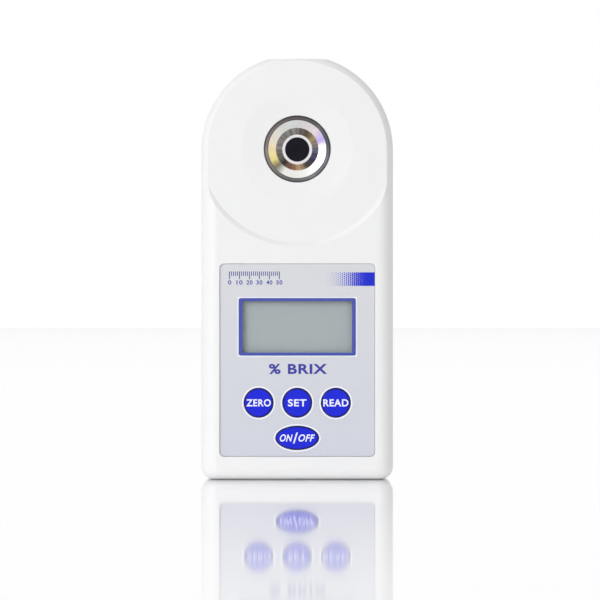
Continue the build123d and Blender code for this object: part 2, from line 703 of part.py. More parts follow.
# Controller with legs on four sides, on the back of the board
with BuildPart() as microcontroller:
    with BuildSketch(facing(BOARD_BACK_Y + CHIP_T)):
        with Locations(CONTROLLER_PLACE):
            Rectangle(CONTROLLER_SIDE, CONTROLLER_SIDE)
    extrude(amount=CHIP_T - CHIP_LIFT)
    with BuildSketch(facing(BOARD_BACK_Y + LEG_T)):
        with Locations(CONTROLLER_PLACE):
            with GridLocations(LEG_PITCH, 0, LEGS_PER_SIDE, 1):
                Rectangle(LEG_W, CONTROLLER_SIDE + 2 * LEG_L)
            with GridLocations(0, LEG_PITCH, 1, LEGS_PER_SIDE):
                Rectangle(CONTROLLER_SIDE + 2 * LEG_L, LEG_W)
    extrude(amount=LEG_T)
write(microcontroller, "microcontroller")

# Two small chips with legs on two sides
with BuildPart() as amplifier_chips:
    with BuildSketch(facing(BOARD_BACK_Y + CHIP_T)):
        with Locations(*AMPLIFIER_PLACES):
            Rectangle(AMPLIFIER_W, AMPLIFIER_H)
    extrude(amount=CHIP_T - CHIP_LIFT)
    with BuildSketch(facing(BOARD_BACK_Y + LEG_T)):
        with Locations(*AMPLIFIER_PLACES):
            with GridLocations(0, LEG_PITCH, 1, AMPLIFIER_LEGS):
                Rectangle(AMPLIFIER_W + 2 * LEG_L, LEG_W)
    extrude(amount=LEG_T)
write(amplifier_chips, "amplifier_chips")

# Row of capacitors
with BuildPart() as capacitors:
    with BuildSketch(facing(BOARD_BACK_Y + CAPACITOR_T)):
        with Locations(CAPACITOR_PLACE):
            with GridLocations(CAPACITOR_PITCH, 0, CAPACITOR_COUNT, 1):
                Rectangle(CAPACITOR_W, CAPACITOR_L)
    extrude(amount=CAPACITOR_T)
write(capacitors, "capacitors")

# Quartz crystal in its flanged can
with BuildPart() as crystal:
    with BuildSketch(facing(BOARD_BACK_Y + CRYSTAL_H)):
        with Locations(CRYSTAL_PLACE):
            SlotOverall(CRYSTAL_L, CRYSTAL_W)
    extrude(amount=CRYSTAL_H)
    with BuildSketch(facing(BOARD_BACK_Y + CRYSTAL_FLANGE_T)):
        with Locations(CRYSTAL_PLACE):
            SlotOverall(CRYSTAL_L + 2 * CRYSTAL_FLANGE_W, CRYSTAL_W + 2 * CRYSTAL_FLANGE_W)
    extrude(amount=CRYSTAL_FLANGE_T)
write(crystal, "crystal")

# Switches under the keys, each with a bore for its plunger
with BuildPart() as switch_bodies:
    with BuildSketch(facing(BOARD_Y)):
        with Locations(*KEY_PLACES.values()):
            Rectangle(SWITCH_SIDE, SWITCH_SIDE)
    extrude(amount=SWITCH_H)
    with BuildSketch(facing(SWITCH_Y + PLUNGER_IN + KEY_TRAVEL + BORE_SPARE)):
        discs(KEY_PLACES.values(), PLUNGER_R + PLUNGER_FIT)
    extrude(amount=PLUNGER_IN + KEY_TRAVEL + BORE_SPARE, mode=Mode.SUBTRACT)
write(switch_bodies, "switch_bodies")

# Keys: a cap that shows, a flange that stops it behind the case, and a post on the switch's plunger
for key, place in KEY_PLACES.items():
    with BuildPart() as key_cap:
        with BuildSketch(facing(FLANGE_Y)):
            key_outline(key)
        extrude(amount=FLANGE_Y - KEY_TOP_Y)
        fillet(key_cap.faces().sort_by(Axis.Y)[0].edges(), KEY_EDGE_R)
        with BuildSketch(facing(FLANGE_Y + FLANGE_T)):
            key_outline(key, FLANGE_W)
        extrude(amount=FLANGE_T)
        with BuildSketch(facing(PLUNGER_Y)):
            discs([place], POST_R)
        extrude(amount=PLUNGER_Y - FLANGE_Y)
    write(key_cap, f"key_{key}")
    with BuildPart() as plunger:
        with BuildSketch(facing(SWITCH_Y + PLUNGER_IN)):
            discs([place], PLUNGER_R)
        extrude(amount=PLUNGER_IN + PLUNGER_OUT)
    write(plunger, f"plunger_{key}")

# Turned steel dish: rim, band, inner cone and lip, with a neck that screws into the optics housing
with BuildPart() as sample_dish:
    with BuildSketch(Plane.XY.offset(WELL_Z)):
        with BuildLine():
            Polyline(
                (PRISM_R + FIT, NECK_END_Y),
                (PRISM_R + FIT, LIP_Y),
                (PRISM_R + LIP_W, LIP_Y),
                (PRISM_R + LIP_W + CONE_W, CONE_Y),
                (DISH_R - RIM_W, BAND_Y),
                (DISH_R, RIM_Y),
                (DISH_R, SEAT_Y),
                (NECK_R, SEAT_Y),
                (NECK_R, NECK_END_Y),
                close=True,
            )
        make_face()
        with Locations((DISH_R, SEAL_Y)):
            Rectangle(2 * SEAL_DEPTH, 2 * (SEAL_R + FIT), mode=Mode.SUBTRACT)
    revolve(axis=WELL_AXIS)
write(sample_dish, "sample_dish")

# Ring seal in the dish's groove
with BuildPart() as dish_seal:
    with BuildSketch(Plane.XY.offset(WELL_Z)):
        discs([(DISH_R - SEAL_DEPTH + SEAL_R + DISH_FIT, SEAL_Y)], SEAL_R)
    revolve(axis=WELL_AXIS)
write(dish_seal, "dish_seal")

# Prism: a round window at the bottom of the well, and a block whose ends slope across the light's path
with BuildPart() as prism:
    with BuildSketch(facing(BLOCK_Y)):
        discs([WELL_CENTRE], PRISM_R)
    extrude(amount=BLOCK_Y - PRISM_Y)
    with BuildSketch(Plane.YZ):
        prism_section(0)
    extrude(amount=PRISM_R, both=True)
write(prism, "prism")

# Optics housing: a block with sloping ends, two ears, a collar for the dish and two bored arms
with BuildPart() as optics_housing:
    with BuildSketch(Plane.YZ):
        with BuildLine():
            Polyline(
                (RING_BACK_Y, WELL_Z - end_height(RING_BACK_Y)),
                (RING_BACK_Y, WELL_Z + end_height(RING_BACK_Y)),
                (HOUSING_BACK_Y, WELL_Z + end_height(HOUSING_BACK_Y)),
                (HOUSING_BACK_Y, WELL_Z - end_height(HOUSING_BACK_Y)),
                close=True,
            )
        make_face()
    extrude(amount=HOUSING_W / 2, both=True)
    with BuildSketch(facing(EAR_BACK_Y)):
        with Locations(WELL_CENTRE):
            SlotCenterToCenter(2 * EAR_X, 2 * EAR_R)
    extrude(amount=EAR_T)
    with BuildSketch(facing(RING_BACK_Y)):
        discs([WELL_CENTRE], SHOULDER_R - FIT)
    extrude(amount=SHOULDER_T)
    with BuildSketch(facing(BLOCK_Y)):
        discs([WELL_CENTRE], NECK_R + DISH_FIT)
    extrude(amount=BLOCK_Y - SEAT_Y, mode=Mode.SUBTRACT)
    with BuildSketch(Plane.YZ):
        prism_section(FIT)
    extrude(amount=PRISM_R + FIT, both=True, mode=Mode.SUBTRACT)
    for side in (-1, 1):
        with BuildSketch(arm_plane(side, -ARM_LEAD_IN)):
            Circle(ARM_R)
        extrude(amount=ARM_LEAD_IN + 2 * ARM_L, mode=Mode.SUBTRACT)
    with BuildSketch(arm_plane(-1, ARM_L)):
        Rectangle(SENSOR_W + 2 * FIT, SENSOR_H + 2 * FIT)
    extrude(amount=-SENSOR_T - FIT, mode=Mode.SUBTRACT)
    with BuildSketch(facing(EAR_BACK_Y)):
        discs(EARS, SCREW_R + SCREW_CLEARANCE)
    extrude(amount=EAR_T, mode=Mode.SUBTRACT)
    with BuildSketch(facing(HOUSING_BACK_Y)):
        discs([THERMISTOR_PLACE], THERMISTOR_R + FIT)
    extrude(amount=HOUSING_BACK - THERMISTOR_END_WALL, mode=Mode.SUBTRACT)
write(optics_housing, "optics_housing")

# Temperature sensor at the end of its bore beside the prism
with BuildPart() as thermistor:
    with BuildSketch(facing(RING_BACK_Y + THERMISTOR_END_WALL + FIT + THERMISTOR_L)):
        discs([THERMISTOR_PLACE], THERMISTOR_R)
    extrude(amount=THERMISTOR_L)
    fillet(thermistor.edges().sort_by(Axis.Y)[0], THERMISTOR_R - FIT)
write(thermistor, "thermistor")

# One lens in each arm, curved on the side away from the prism
for side, name in ((1, "collimating_lens"), (-1, "focusing_lens")):
    with BuildPart() as lens:
        with BuildSketch(arm_plane(side, LENS_SEAT)):
            Circle(LENS_R)
        extrude(amount=LENS_T)
        with Locations(arm_plane(side, LENS_SEAT + LENS_T - LENS_CURVE_R)):
            Sphere(LENS_CURVE_R, mode=Mode.INTERSECT)
    write(lens, name)

# Light source with its domed end towards the prism
with BuildPart() as light_source:
    with BuildSketch(arm_plane(1, ARM_L)):
        Circle(LED_R)
    extrude(amount=-LED_L)
    fillet(light_source.edges().sort_by(Axis.Z)[0], LED_R - FIT)
    with BuildSketch(arm_plane(1, ARM_L)):
        Circle(LENS_R)
    extrude(amount=-LED_FLANGE_T)
write(light_source, "light_source")

# Line sensor in its recess at the end of the lower arm
with BuildPart() as line_sensor:
    with BuildSketch(arm_plane(-1, ARM_L)):
        Rectangle(SENSOR_W, SENSOR_H)
    extrude(amount=-SENSOR_T)
write(line_sensor, "line_sensor")

# Small boards across the ends of the arms
for side, width, name in ((1, LIGHT_BOARD_W, "light_board"), (-1, SENSOR_BOARD_W, "sensor_board")):
    with BuildPart() as optics_board:
        with BuildSketch(arm_plane(side, ARM_L)):
            Rectangle(width, OPTICS_BOARD_H)
        extrude(amount=OPTICS_BOARD_T)
    write(optics_board, name)

# Flexible lead that joins the two small boards round the back of the housing
with BuildPart() as optics_flex:
    with BuildSketch(Plane.YZ):
        with BuildLine() as flex_path:
            FilletPolyline(
                board_point(1, 0),
                board_point(1, OPTICS_BOARD_H / 2 + FLEX_REACH),
                board_point(-1, OPTICS_BOARD_H / 2 + FLEX_REACH),
                board_point(-1, 0),
                radius=FLEX_BEND_R,
            )
        trace(flex_path.line, line_width=FLEX_T)
    extrude(amount=FLEX_W / 2, both=True)
write(optics_flex, "optics_flex")

# Ribbon from the sensor board down into its connector on the main board
with BuildPart() as sensor_ribbon:
    with BuildSketch(Plane.YZ):
        with BuildLine() as ribbon_path:
            FilletPolyline(
                board_point(-1, -FLEX_T),
                board_point(-1, RIBBON_TURN),
                (RIBBON_Y, BOARD_TOP - CONNECTOR_H / 2),
                radius=FLEX_BEND_R,
            )
        trace(ribbon_path.line, line_width=FLEX_T)
    extrude(amount=RIBBON_W / 2, both=True)
write(sensor_ribbon, "sensor_ribbon")

# Connector with a slot for the ribbon
with BuildPart() as ribbon_connector:
    with BuildSketch(facing(BOARD_BACK_Y + CONNECTOR_T)):
        box_outline(-CONNECTOR_W / 2, CONNECTOR_W / 2, BOARD_TOP - CONNECTOR_H, BOARD_TOP)
    extrude(amount=CONNECTOR_T)
    with BuildSketch(Plane.XY.offset(BOARD_TOP)):
        with Locations((0, RIBBON_Y)):
            Rectangle(RIBBON_W + 2 * FIT, FLEX_T + 2 * FIT)
    extrude(amount=-CONNECTOR_H / 2 - FIT, mode=Mode.SUBTRACT)
write(ribbon_connector, "ribbon_connector")

# Cells: the left one stands on its spring, the right one hangs from its spring
for name, side, low, turned in (
    ("battery_left", -1, BAY_Z0 + CONTACT_T + SPRING_L, 1),
    ("battery_right", 1, BAY_Z0 + CONTACT_T + CONTACT_GAP, -1),
):
    base = low if turned == 1 else low + CELL_L
    with BuildPart() as cell:
        with BuildSketch(Plane.XY.offset(base)):
            discs([(side * CELL_X, CELL_Y)], CELL_D / 2)
        extrude(amount=turned * (CELL_L - BUTTON_L))
        chamfer(cell.edges().filter_by(GeomType.CIRCLE), CELL_CHAMFER)
        with BuildSketch(Plane.XY.offset(base)):
            discs([(side * CELL_X, CELL_Y)], BUTTON_R)
        extrude(amount=turned * CELL_L)
    write(cell, name)

# Plates at the bay's upper end, each with a tail that reaches the board
for name, side in (("contact_positive", -1), ("contact_negative", 1)):
    with BuildPart() as contact:
        with BuildSketch(Plane.XY.offset(BAY_Z1 - CONTACT_T)):
            contact_outline(side)
            box_outline(
                side * CELL_X - TAIL_W / 2, side * CELL_X + TAIL_W / 2, BOARD_BACK_Y, BAY_FLOOR_Y + CELL_FIT
            )
        extrude(amount=CONTACT_T)
        if side == -1:
            with BuildSketch(Plane.XY.offset(BAY_Z1 - CONTACT_T)):
                discs([(side * CELL_X, CELL_Y)], DIMPLE_R)
            extrude(amount=-CONTACT_GAP)
    write(contact, name)

# Plate across the bay's lower end, which joins the two cells
with BuildPart() as bridge_contact:
    with BuildSketch(Plane.XY.offset(BAY_Z0)):
        contact_outline(-1)
        contact_outline(1)
        box_outline(-CELL_X, CELL_X, CELL_Y - BRIDGE_W / 2, CELL_Y + BRIDGE_W / 2)
    extrude(amount=CONTACT_T)
    with BuildSketch(Plane.XY.offset(BAY_Z0 + CONTACT_T)):
        discs([(CELL_X, CELL_Y)], DIMPLE_R)
    extrude(amount=CONTACT_GAP)
write(bridge_contact, "bridge_contact")

# Coil springs between plates and cells
with BuildPart() as battery_springs:
    for x, low in ((-CELL_X, BAY_Z0 + CONTACT_T), (CELL_X, BAY_Z1 - CONTACT_T - SPRING_L)):
        with BuildLine() as coil:
            Helix(
                (SPRING_L - 2 * WIRE_R) / SPRING_TURNS,
                SPRING_L - 2 * WIRE_R,
                SPRING_R - WIRE_R,
                center=(x, CELL_Y, low + WIRE_R),
            )
        with BuildSketch(Plane(coil.line @ 0, z_dir=coil.line % 0)):
            Circle(WIRE_R)
        sweep(path=coil.line)
write(battery_springs, "battery_springs")

# Screws, all driven from the back
for name, places, seat_y, length in (
    ("case_screws", CASE_SCREWS, CASE_SCREW_SEAT_Y, CASE_SCREW_L),
    ("board_screws", BOARD_SCREWS, BOARD_BACK_Y, BOARD_SCREW_L),
    ("optics_screws", EARS, EAR_BACK_Y, OPTICS_SCREW_L),
):
    with BuildPart() as screws:
        with BuildSketch(facing(seat_y + SCREW_HEAD_H)):
            discs(places, SCREW_HEAD_R)
        extrude(amount=SCREW_HEAD_H)
        with BuildSketch(facing(seat_y)):
            discs(places, SCREW_R)
        extrude(amount=length)
        with BuildSketch(facing(seat_y + SCREW_HEAD_H)):
            with Locations(*places):
                Rectangle(DRIVE_L, DRIVE_W)
                Rectangle(DRIVE_W, DRIVE_L)
        extrude(amount=DRIVE_DEPTH, mode=Mode.SUBTRACT)
    write(screws, name)
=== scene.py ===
# %% [markdown]
# Digital brix meter. A brix meter measures the sugar in a drop of juice: the drop lies in a steel well
# over a prism, and light that the drop bends falls on a sensor behind it. The pieces of this one come
# ready made from a CAD model, as one mesh each, in metres, with the meter standing on its lower end and
# its panel facing -Y. The steps below add the camera, the light, a finish for every piece, and what is
# printed on the meter.

# %% Load the model
import json
from math import pi, radians

import bpy
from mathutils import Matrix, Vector


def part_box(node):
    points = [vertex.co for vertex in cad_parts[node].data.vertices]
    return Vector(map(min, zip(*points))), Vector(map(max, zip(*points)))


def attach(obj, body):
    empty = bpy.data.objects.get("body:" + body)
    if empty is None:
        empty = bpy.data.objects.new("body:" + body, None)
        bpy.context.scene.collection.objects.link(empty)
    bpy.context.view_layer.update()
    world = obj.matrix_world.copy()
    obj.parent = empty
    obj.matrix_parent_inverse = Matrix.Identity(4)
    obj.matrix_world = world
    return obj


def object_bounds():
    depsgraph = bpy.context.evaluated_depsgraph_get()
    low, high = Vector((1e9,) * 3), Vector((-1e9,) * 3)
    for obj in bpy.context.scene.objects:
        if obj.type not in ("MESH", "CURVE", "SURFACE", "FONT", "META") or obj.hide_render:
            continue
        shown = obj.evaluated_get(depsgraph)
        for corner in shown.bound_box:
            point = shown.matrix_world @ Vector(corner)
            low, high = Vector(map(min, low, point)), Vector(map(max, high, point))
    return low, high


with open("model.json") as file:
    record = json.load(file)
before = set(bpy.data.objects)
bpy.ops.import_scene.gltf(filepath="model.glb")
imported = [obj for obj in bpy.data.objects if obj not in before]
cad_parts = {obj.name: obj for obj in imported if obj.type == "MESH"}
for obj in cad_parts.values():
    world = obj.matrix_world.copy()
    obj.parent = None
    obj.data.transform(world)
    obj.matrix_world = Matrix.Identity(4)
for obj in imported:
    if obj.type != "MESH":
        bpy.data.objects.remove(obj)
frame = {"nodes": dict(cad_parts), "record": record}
cad_low, cad_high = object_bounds()
nodes = frame["nodes"]
MM = 0.001
print("pieces", len(nodes), "height in mm", round(cad_high.z / MM, 1))

# %% [markdown]
# Camera. The photograph looks straight at the panel from far away, so the meter's sides stay hidden and
# its lines stay parallel. A long lens on a level camera gives the same view. The picture's centre lies a
# little right of the meter's middle, at 54 mm above the floor.

# %% Camera
VIEW_W = 180.9 * MM
CAMERA_FAR = 1.1
CAMERA_X = 0.84 * MM
CAMERA_Z = 54.2 * MM
camera = bpy.data.objects.new("camera", bpy.data.cameras.new("camera"))
bpy.context.scene.collection.objects.link(camera)
camera.location = (CAMERA_X, cad_low.y - CAMERA_FAR, CAMERA_Z)
camera.rotation_euler = (radians(90), 0, 0)
camera.data.lens = camera.data.sensor_width * CAMERA_FAR / VIEW_W
camera.data.clip_start = 0.01
bpy.context.scene.camera = camera
print("lens in mm", round(camera.data.lens))

# %% [markdown]
# Shader maths. A finish is a small graph of nodes. Written node by node it is long and hard to read, so
# one class wraps an output socket and turns ordinary arithmetic into Math nodes, and one method makes
# every other node from its type, its settings and what goes into its sockets.


# %% Helper for finishes
class Wire:
    """An output socket of a finish that takes part in plain arithmetic."""

    def __init__(self, finish, socket):
        self.finish = finish
        self.socket = socket

    def math(self, operation, first, second=0.0):
        return self.finish.node("ShaderNodeMath", {"operation": operation}, {0: first, 1: second})

    def __add__(self, other):
        return self.math("ADD", self, other)

    def __sub__(self, other):
        return self.math("SUBTRACT", self, other)

    def __rsub__(self, other):
        return self.math("SUBTRACT", other, self)

    def __mul__(self, other):
        return self.math("MULTIPLY", self, other)

    def __truediv__(self, other):
        return self.math("DIVIDE", self, other)

    def __pow__(self, other):
        return self.math("POWER", self, other)

    def __gt__(self, other):
        return self.math("GREATER_THAN", self, other)

    def __lt__(self, other):
        return self.math("LESS_THAN", self, other)

    def sine(self):
        return self.math("SINE", self)

    def root(self):
        return self.math("SQRT", self)

    def fraction(self):
        return self.math("FRACT", self)

    def angle_to(self, other):
        return self.math("ARCTAN2", self, other)

    __radd__ = __add__
    __rmul__ = __mul__


class Finish:
    """A material whose nodes are made by one method."""

    def __init__(self, name):
        self.material = bpy.data.materials.new(name)
        self.material.use_nodes = True
        self.tree = self.material.node_tree
        self.tree.nodes.clear()

    def node(self, kind, settings=None, inputs=None, out=0):
        made = self.tree.nodes.new(kind)
        for key, value in (settings or {}).items():
            if key == "stops":
                ramp = made.color_ramp.elements
                while len(ramp) < len(value):
                    ramp.new(0.5)
                for stop, (position, colour) in zip(ramp, value):
                    stop.position = position
                    stop.color = (*colour, 1)
            else:
                setattr(made, key, value)
        for key, value in (inputs or {}).items():
            if isinstance(value, Wire):
                self.tree.links.new(value.socket, made.inputs[key])
            elif isinstance(value, tuple) and len(value) == 3 and made.inputs[key].type == "RGBA":
                made.inputs[key].default_value = (*value, 1)
            else:
                made.inputs[key].default_value = value
        return Wire(self, made.outputs[out])

    def place(self):
        return self.node("ShaderNodeTexCoord", out="Object")

    def axes(self, centre=(0, 0, 0)):
        """The three coordinates of a point of the surface, measured from a centre."""
        moved = self.node("ShaderNodeVectorMath", {"operation": "SUBTRACT"}, {0: self.place(), 1: centre})
        return [self.node("ShaderNodeSeparateXYZ", None, {0: moved}, out=axis) for axis in "XYZ"]

    def noise(self, grain, detail=2.0, stretch=(1, 1, 1)):
        """Cloudy noise whose lumps are about one grain across, in metres."""
        scaled = self.node("ShaderNodeMapping", None, {"Vector": self.place(), "Scale": stretch})
        inputs = {"Vector": scaled, "Scale": 1 / grain, "Detail": detail}
        return self.node("ShaderNodeTexNoise", None, inputs, out="Fac")

    def cells(self, grain, out="Distance"):
        """Pattern of small cells, for grains and flakes."""
        inputs = {"Vector": self.place(), "Scale": 1 / grain}
        return self.node("ShaderNodeTexVoronoi", None, inputs, out=out)

    def mix(self, factor, first, second):
        return self.node("ShaderNodeMix", {"data_type": "RGBA"}, {0: factor, 6: first, 7: second}, out=2)

    def ramp(self, factor, stops):
        return self.node("ShaderNodeValToRGB", {"stops": stops}, {0: factor})

    def bump(self, height, depth):
        """Normal from a height between 0 and 1 that stands for a depth in metres."""
        return self.node("ShaderNodeBump", None, {"Height": height, "Distance": depth})

    def surface(self, **sockets):
        """Ends the finish with a principled shader."""
        named = {}
        for key, value in sockets.items():
            named[key.replace("_", " ").title().replace("Ior", "IOR")] = value
        return self.end(self.node("ShaderNodeBsdfPrincipled", None, named))

    def end(self, shader):
        """Ends the finish with any shader, and gives back the material."""
        output = self.tree.nodes.new("ShaderNodeOutputMaterial")
        self.tree.links.new(shader.socket, output.inputs["Surface"])
        return self.material


def ink(red, green, blue):
    """A colour given as on a screen, 0 to 255, as the linear values that Blender works with."""
    levels = [value / 255 for value in (red, green, blue)]
    return tuple(v / 12.92 if v <= 0.04045 else ((v + 0.055) / 1.055) ** 2.4 for v in levels)


def within(value, low, high):
    """Mask that is 1 between two limits and 0 outside them."""
    return (value > low) * (value < high)


# %% [markdown]
# Floor and light. The meter stands on a glossy white table that fades into a white room. The table
# mirrors its lower end, and the meter darkens the table where it stands. Three soft lamps and a white
# world light it: the main lamp from the left, which shades the right sides of the steps, one from above
# for the upper left edge, and a weak one from the right, so that no side turns grey. The room looks pure
# white to the camera, in a mirror and through glass, but lights the meter with only half of that.

# %% Floor
FLOOR_GLOW = 0.95
MIRROR_NEAR_Y = -0.04
MIRROR_FAR_Y = -0.45
MIRROR_NEAR = 0.95
MIRROR_FAR = 0.4


def floor_finish():
    finish = Finish("white table")
    camera_ray = finish.node("ShaderNodeLightPath", out="Is Camera Ray")
    y = finish.axes()[1]
    matt = finish.node("ShaderNodeBsdfDiffuse", None, {"Color": (0.86, 0.86, 0.86)})
    glow = finish.node("ShaderNodeEmission", None, {"Color": (1, 1, 1), "Strength": 1.0})
    lit = finish.node("ShaderNodeMixShader", None, {0: camera_ray * FLOOR_GLOW, 1: matt, 2: glow})
    gloss = {"Color": (0.99, 0.99, 1.0), "Roughness": 0.05}
    mirror = finish.node("ShaderNodeBsdfGlossy", None, gloss)
    # The mirror image is strongest at the meter's foot and fades towards the front of the table
    reach = {0: y, 1: MIRROR_FAR_Y, 2: MIRROR_NEAR_Y, 3: MIRROR_FAR, 4: MIRROR_NEAR}
    fade = finish.node("ShaderNodeMapRange", None, reach)
    return finish.end(finish.node("ShaderNodeMixShader", None, {0: fade, 1: lit, 2: mirror}))


FLOOR_SIZE = 12
FLOOR_DROP = 0.05 * MM
bpy.ops.object.select_all(action="DESELECT")
bpy.ops.mesh.primitive_plane_add(size=FLOOR_SIZE, location=(0, 0, -FLOOR_DROP))
floor = bpy.context.object
floor.name = "floor"
floor.data.materials.append(floor_finish())
print("floor in metres", FLOOR_SIZE)

# %% World
WORLD_LIGHT = 0.5
world = bpy.data.worlds.new("white room")
bpy.context.scene.world = world
world.use_nodes = True
world.node_tree.nodes.clear()
room_nodes = world.node_tree.nodes
path = room_nodes.new("ShaderNodeLightPath")
seen = room_nodes.new("ShaderNodeMath")
seen.operation = "MAXIMUM"
clear = room_nodes.new("ShaderNodeMath")
clear.operation = "MAXIMUM"
strength = room_nodes.new("ShaderNodeMapRange")
strength.inputs["To Min"].default_value = WORLD_LIGHT
strength.inputs["To Max"].default_value = 1.0
room = room_nodes.new("ShaderNodeBackground")
room.inputs["Color"].default_value = (1, 1, 1, 1)
room_out = room_nodes.new("ShaderNodeOutputWorld")
link = world.node_tree.links.new
link(path.outputs["Is Camera Ray"], seen.inputs[0])
link(path.outputs["Is Glossy Ray"], seen.inputs[1])
link(seen.outputs[0], clear.inputs[0])
link(path.outputs["Is Transmission Ray"], clear.inputs[1])
link(clear.outputs[0], strength.inputs["Value"])
link(strength.outputs[0], room.inputs["Strength"])
link(room.outputs[0], room_out.inputs["Surface"])
bpy.context.scene.view_settings.view_transform = "Standard"
print("light of the room", WORLD_LIGHT)


# %% Lamps
def lamp(name, place, aim, size, power, tint=(1, 1, 1)):
    """Large soft lamp that faces a point."""
    light = bpy.data.lights.new(name, "AREA")
    light.size = size
    light.energy = power
    light.color = tint
    made = bpy.data.objects.new(name, light)
    bpy.context.scene.collection.objects.link(made)
    made.location = place
    made.rotation_euler = (Vector(aim) - Vector(place)).to_track_quat("-Z", "Y").to_euler()
    print(name, "power in watts", power)


MIDDLE = (0, 0, cad_high.z / 2)
lamp("main lamp", (-0.64, -0.9, 0.42), MIDDLE, 0.4, 4.2, (1.0, 0.99, 0.975))
lamp("edge lamp", (-0.32, -0.14, 0.8), MIDDLE, 0.35, 0.9)
lamp("front lamp", (0.55, -1.1, 0.1), MIDDLE, 0.5, 1.3)

# %% [markdown]
# Moulded plastic. The case and the battery door are white ABS with a fine satin grain. Under a close look
# such plastic isn't one colour: flow and thickness change it by a percent or two, and the grain breaks
# its gloss. Two layers of noise do that, one broad and one as fine as the mould's own texture.

# %% Plastic finishes
SEAM_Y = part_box("front_cover")[1].y
SEAM_HALF_W = 0.09 * MM
GRAIN_DEPTH = 0.006 * MM


def moulded(name, colour, shade, roughness, grain=0.18 * MM, gloss=0.5, seam=False):
    """Moulded plastic: its colour, the shade that its broad clouds lean to, its gloss and its grain."""
    finish = Finish(name)
    clouds = finish.noise(14 * MM, 3.0)
    fine = finish.noise(grain, 2.0)
    tone = finish.mix(clouds, colour, shade)
    if seam:
        # The two halves of the case meet in a fine dark line round its sides
        line = within(finish.axes()[1], SEAM_Y - SEAM_HALF_W, SEAM_Y + SEAM_HALF_W)
        tone = finish.mix(line * 0.8, tone, ink(120, 122, 126))
    return finish.surface(
        base_color=tone,
        roughness=roughness + (fine - 0.5) * 0.12 + (clouds - 0.5) * 0.05,
        normal=finish.bump(fine, GRAIN_DEPTH),
        specular_ior_level=gloss,
    )


# %% [markdown]
# Printed panel. The panel is a thin film with a silver print: neutral grey above, a little bluer below,
# with fine flakes in it. In its upper right corner a row of blue dots grows into a solid bar, a usual
# screen tint. The dots are drawn by shader maths: the place is cut into small squares, and the distance
# to a square's middle is compared with a size that grows towards the right.

# %% Panel finish
PANEL_LOW, PANEL_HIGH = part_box("panel_overlay")
BAR_LEFT = 7.7 * MM
BAR_RIGHT = PANEL_HIGH.x
BAR_LOW = 58.45 * MM
BAR_HIGH = 62.55 * MM
DOT_PITCH = 0.62 * MM
DOT_SMALLEST = 0.02
DOT_GROWTH = 0.78
FRONT_SKIN = 0.05 * MM
PRINT_BLUE = ink(14, 36, 202)
KEY_NODES = ["key_left", "key_middle", "key_right", "key_power"]
FLANGE_W = 0.9 * MM
HALO_W = 0.7 * MM
FRAME_HALO_W = 0.4 * MM


def round_key(x, z, node):
    """Mask of a little more than a key's cap. The box holds the hidden flange too."""
    low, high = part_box(node)
    half_w = (high.x - low.x) / 2 - FLANGE_W + HALO_W
    half_h = (high.z - low.z) / 2 - FLANGE_W + HALO_W
    across = (x - (low.x + high.x) / 2) / half_w
    upward = (z - (low.z + high.z) / 2) / half_h
    return across ** 2 + upward ** 2 < 1


def panel_finish():
    finish = Finish("silver print")
    x, y, z = finish.axes()
    rise = (z - PANEL_LOW.z) / (PANEL_HIGH.z - PANEL_LOW.z)
    flakes = finish.cells(0.11 * MM, out="Color")
    flake = finish.node("ShaderNodeSeparateColor", None, {0: flakes}, out=0)
    tone = finish.mix(rise, ink(203, 205, 216), ink(211, 213, 217))
    silver = finish.mix(flake * 0.16, tone, ink(235, 238, 246))
    across = ((x - BAR_LEFT) / DOT_PITCH).fraction() - 0.5
    # Every other column stands half a step lower, as on a printed screen
    column = ((x - BAR_LEFT) / (2 * DOT_PITCH)).fraction() > 0.5
    down = ((z - BAR_LOW) / DOT_PITCH + column * 0.5).fraction() - 0.5
    growth = (x - BAR_LEFT) / (BAR_RIGHT - BAR_LEFT)
    dot = (across * across + down * down).root() < growth * DOT_GROWTH + DOT_SMALLEST
    bar = within(x, BAR_LEFT, BAR_RIGHT) * within(z, BAR_LOW, BAR_HIGH) * dot
    front = y < PANEL_LOW.y + FRONT_SKIN
    # The panel is paler in a thin ring round each key and a thin frame round the display
    low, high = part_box("display_frame")
    halo = within(x, low.x - FRAME_HALO_W, high.x + FRAME_HALO_W)
    halo = halo * within(z, low.z - FRAME_HALO_W, high.z + FRAME_HALO_W)
    for node in KEY_NODES:
        halo = halo + round_key(x, z, node)
    field = finish.mix(halo > 0.5, silver, ink(244, 246, 255))
    return finish.surface(
        base_color=finish.mix(bar * front, field, PRINT_BLUE),
        roughness=0.42 + (flake - 0.5) * 0.14,
        metallic=flake * 0.12,
        specular_ior_level=0.3,
        normal=finish.bump(finish.noise(0.35 * MM), 0.004 * MM),
    )


# %% [markdown]
# Keys. Each key is glossy blue plastic. Its rounded edge is painted darker than its face: painted shade,
# where the edge turns away from the light. The distance from the key's middle tells the finish where the
# painted shade begins.

# %% Key finish
KEY_BLUE = ink(14, 28, 210)
KEY_EDGE_SHADE = ink(4, 8, 128)
KEY_RIM_W = 0.32 * MM
EDGE_START = 0.97
EDGE_SOFT = 0.06


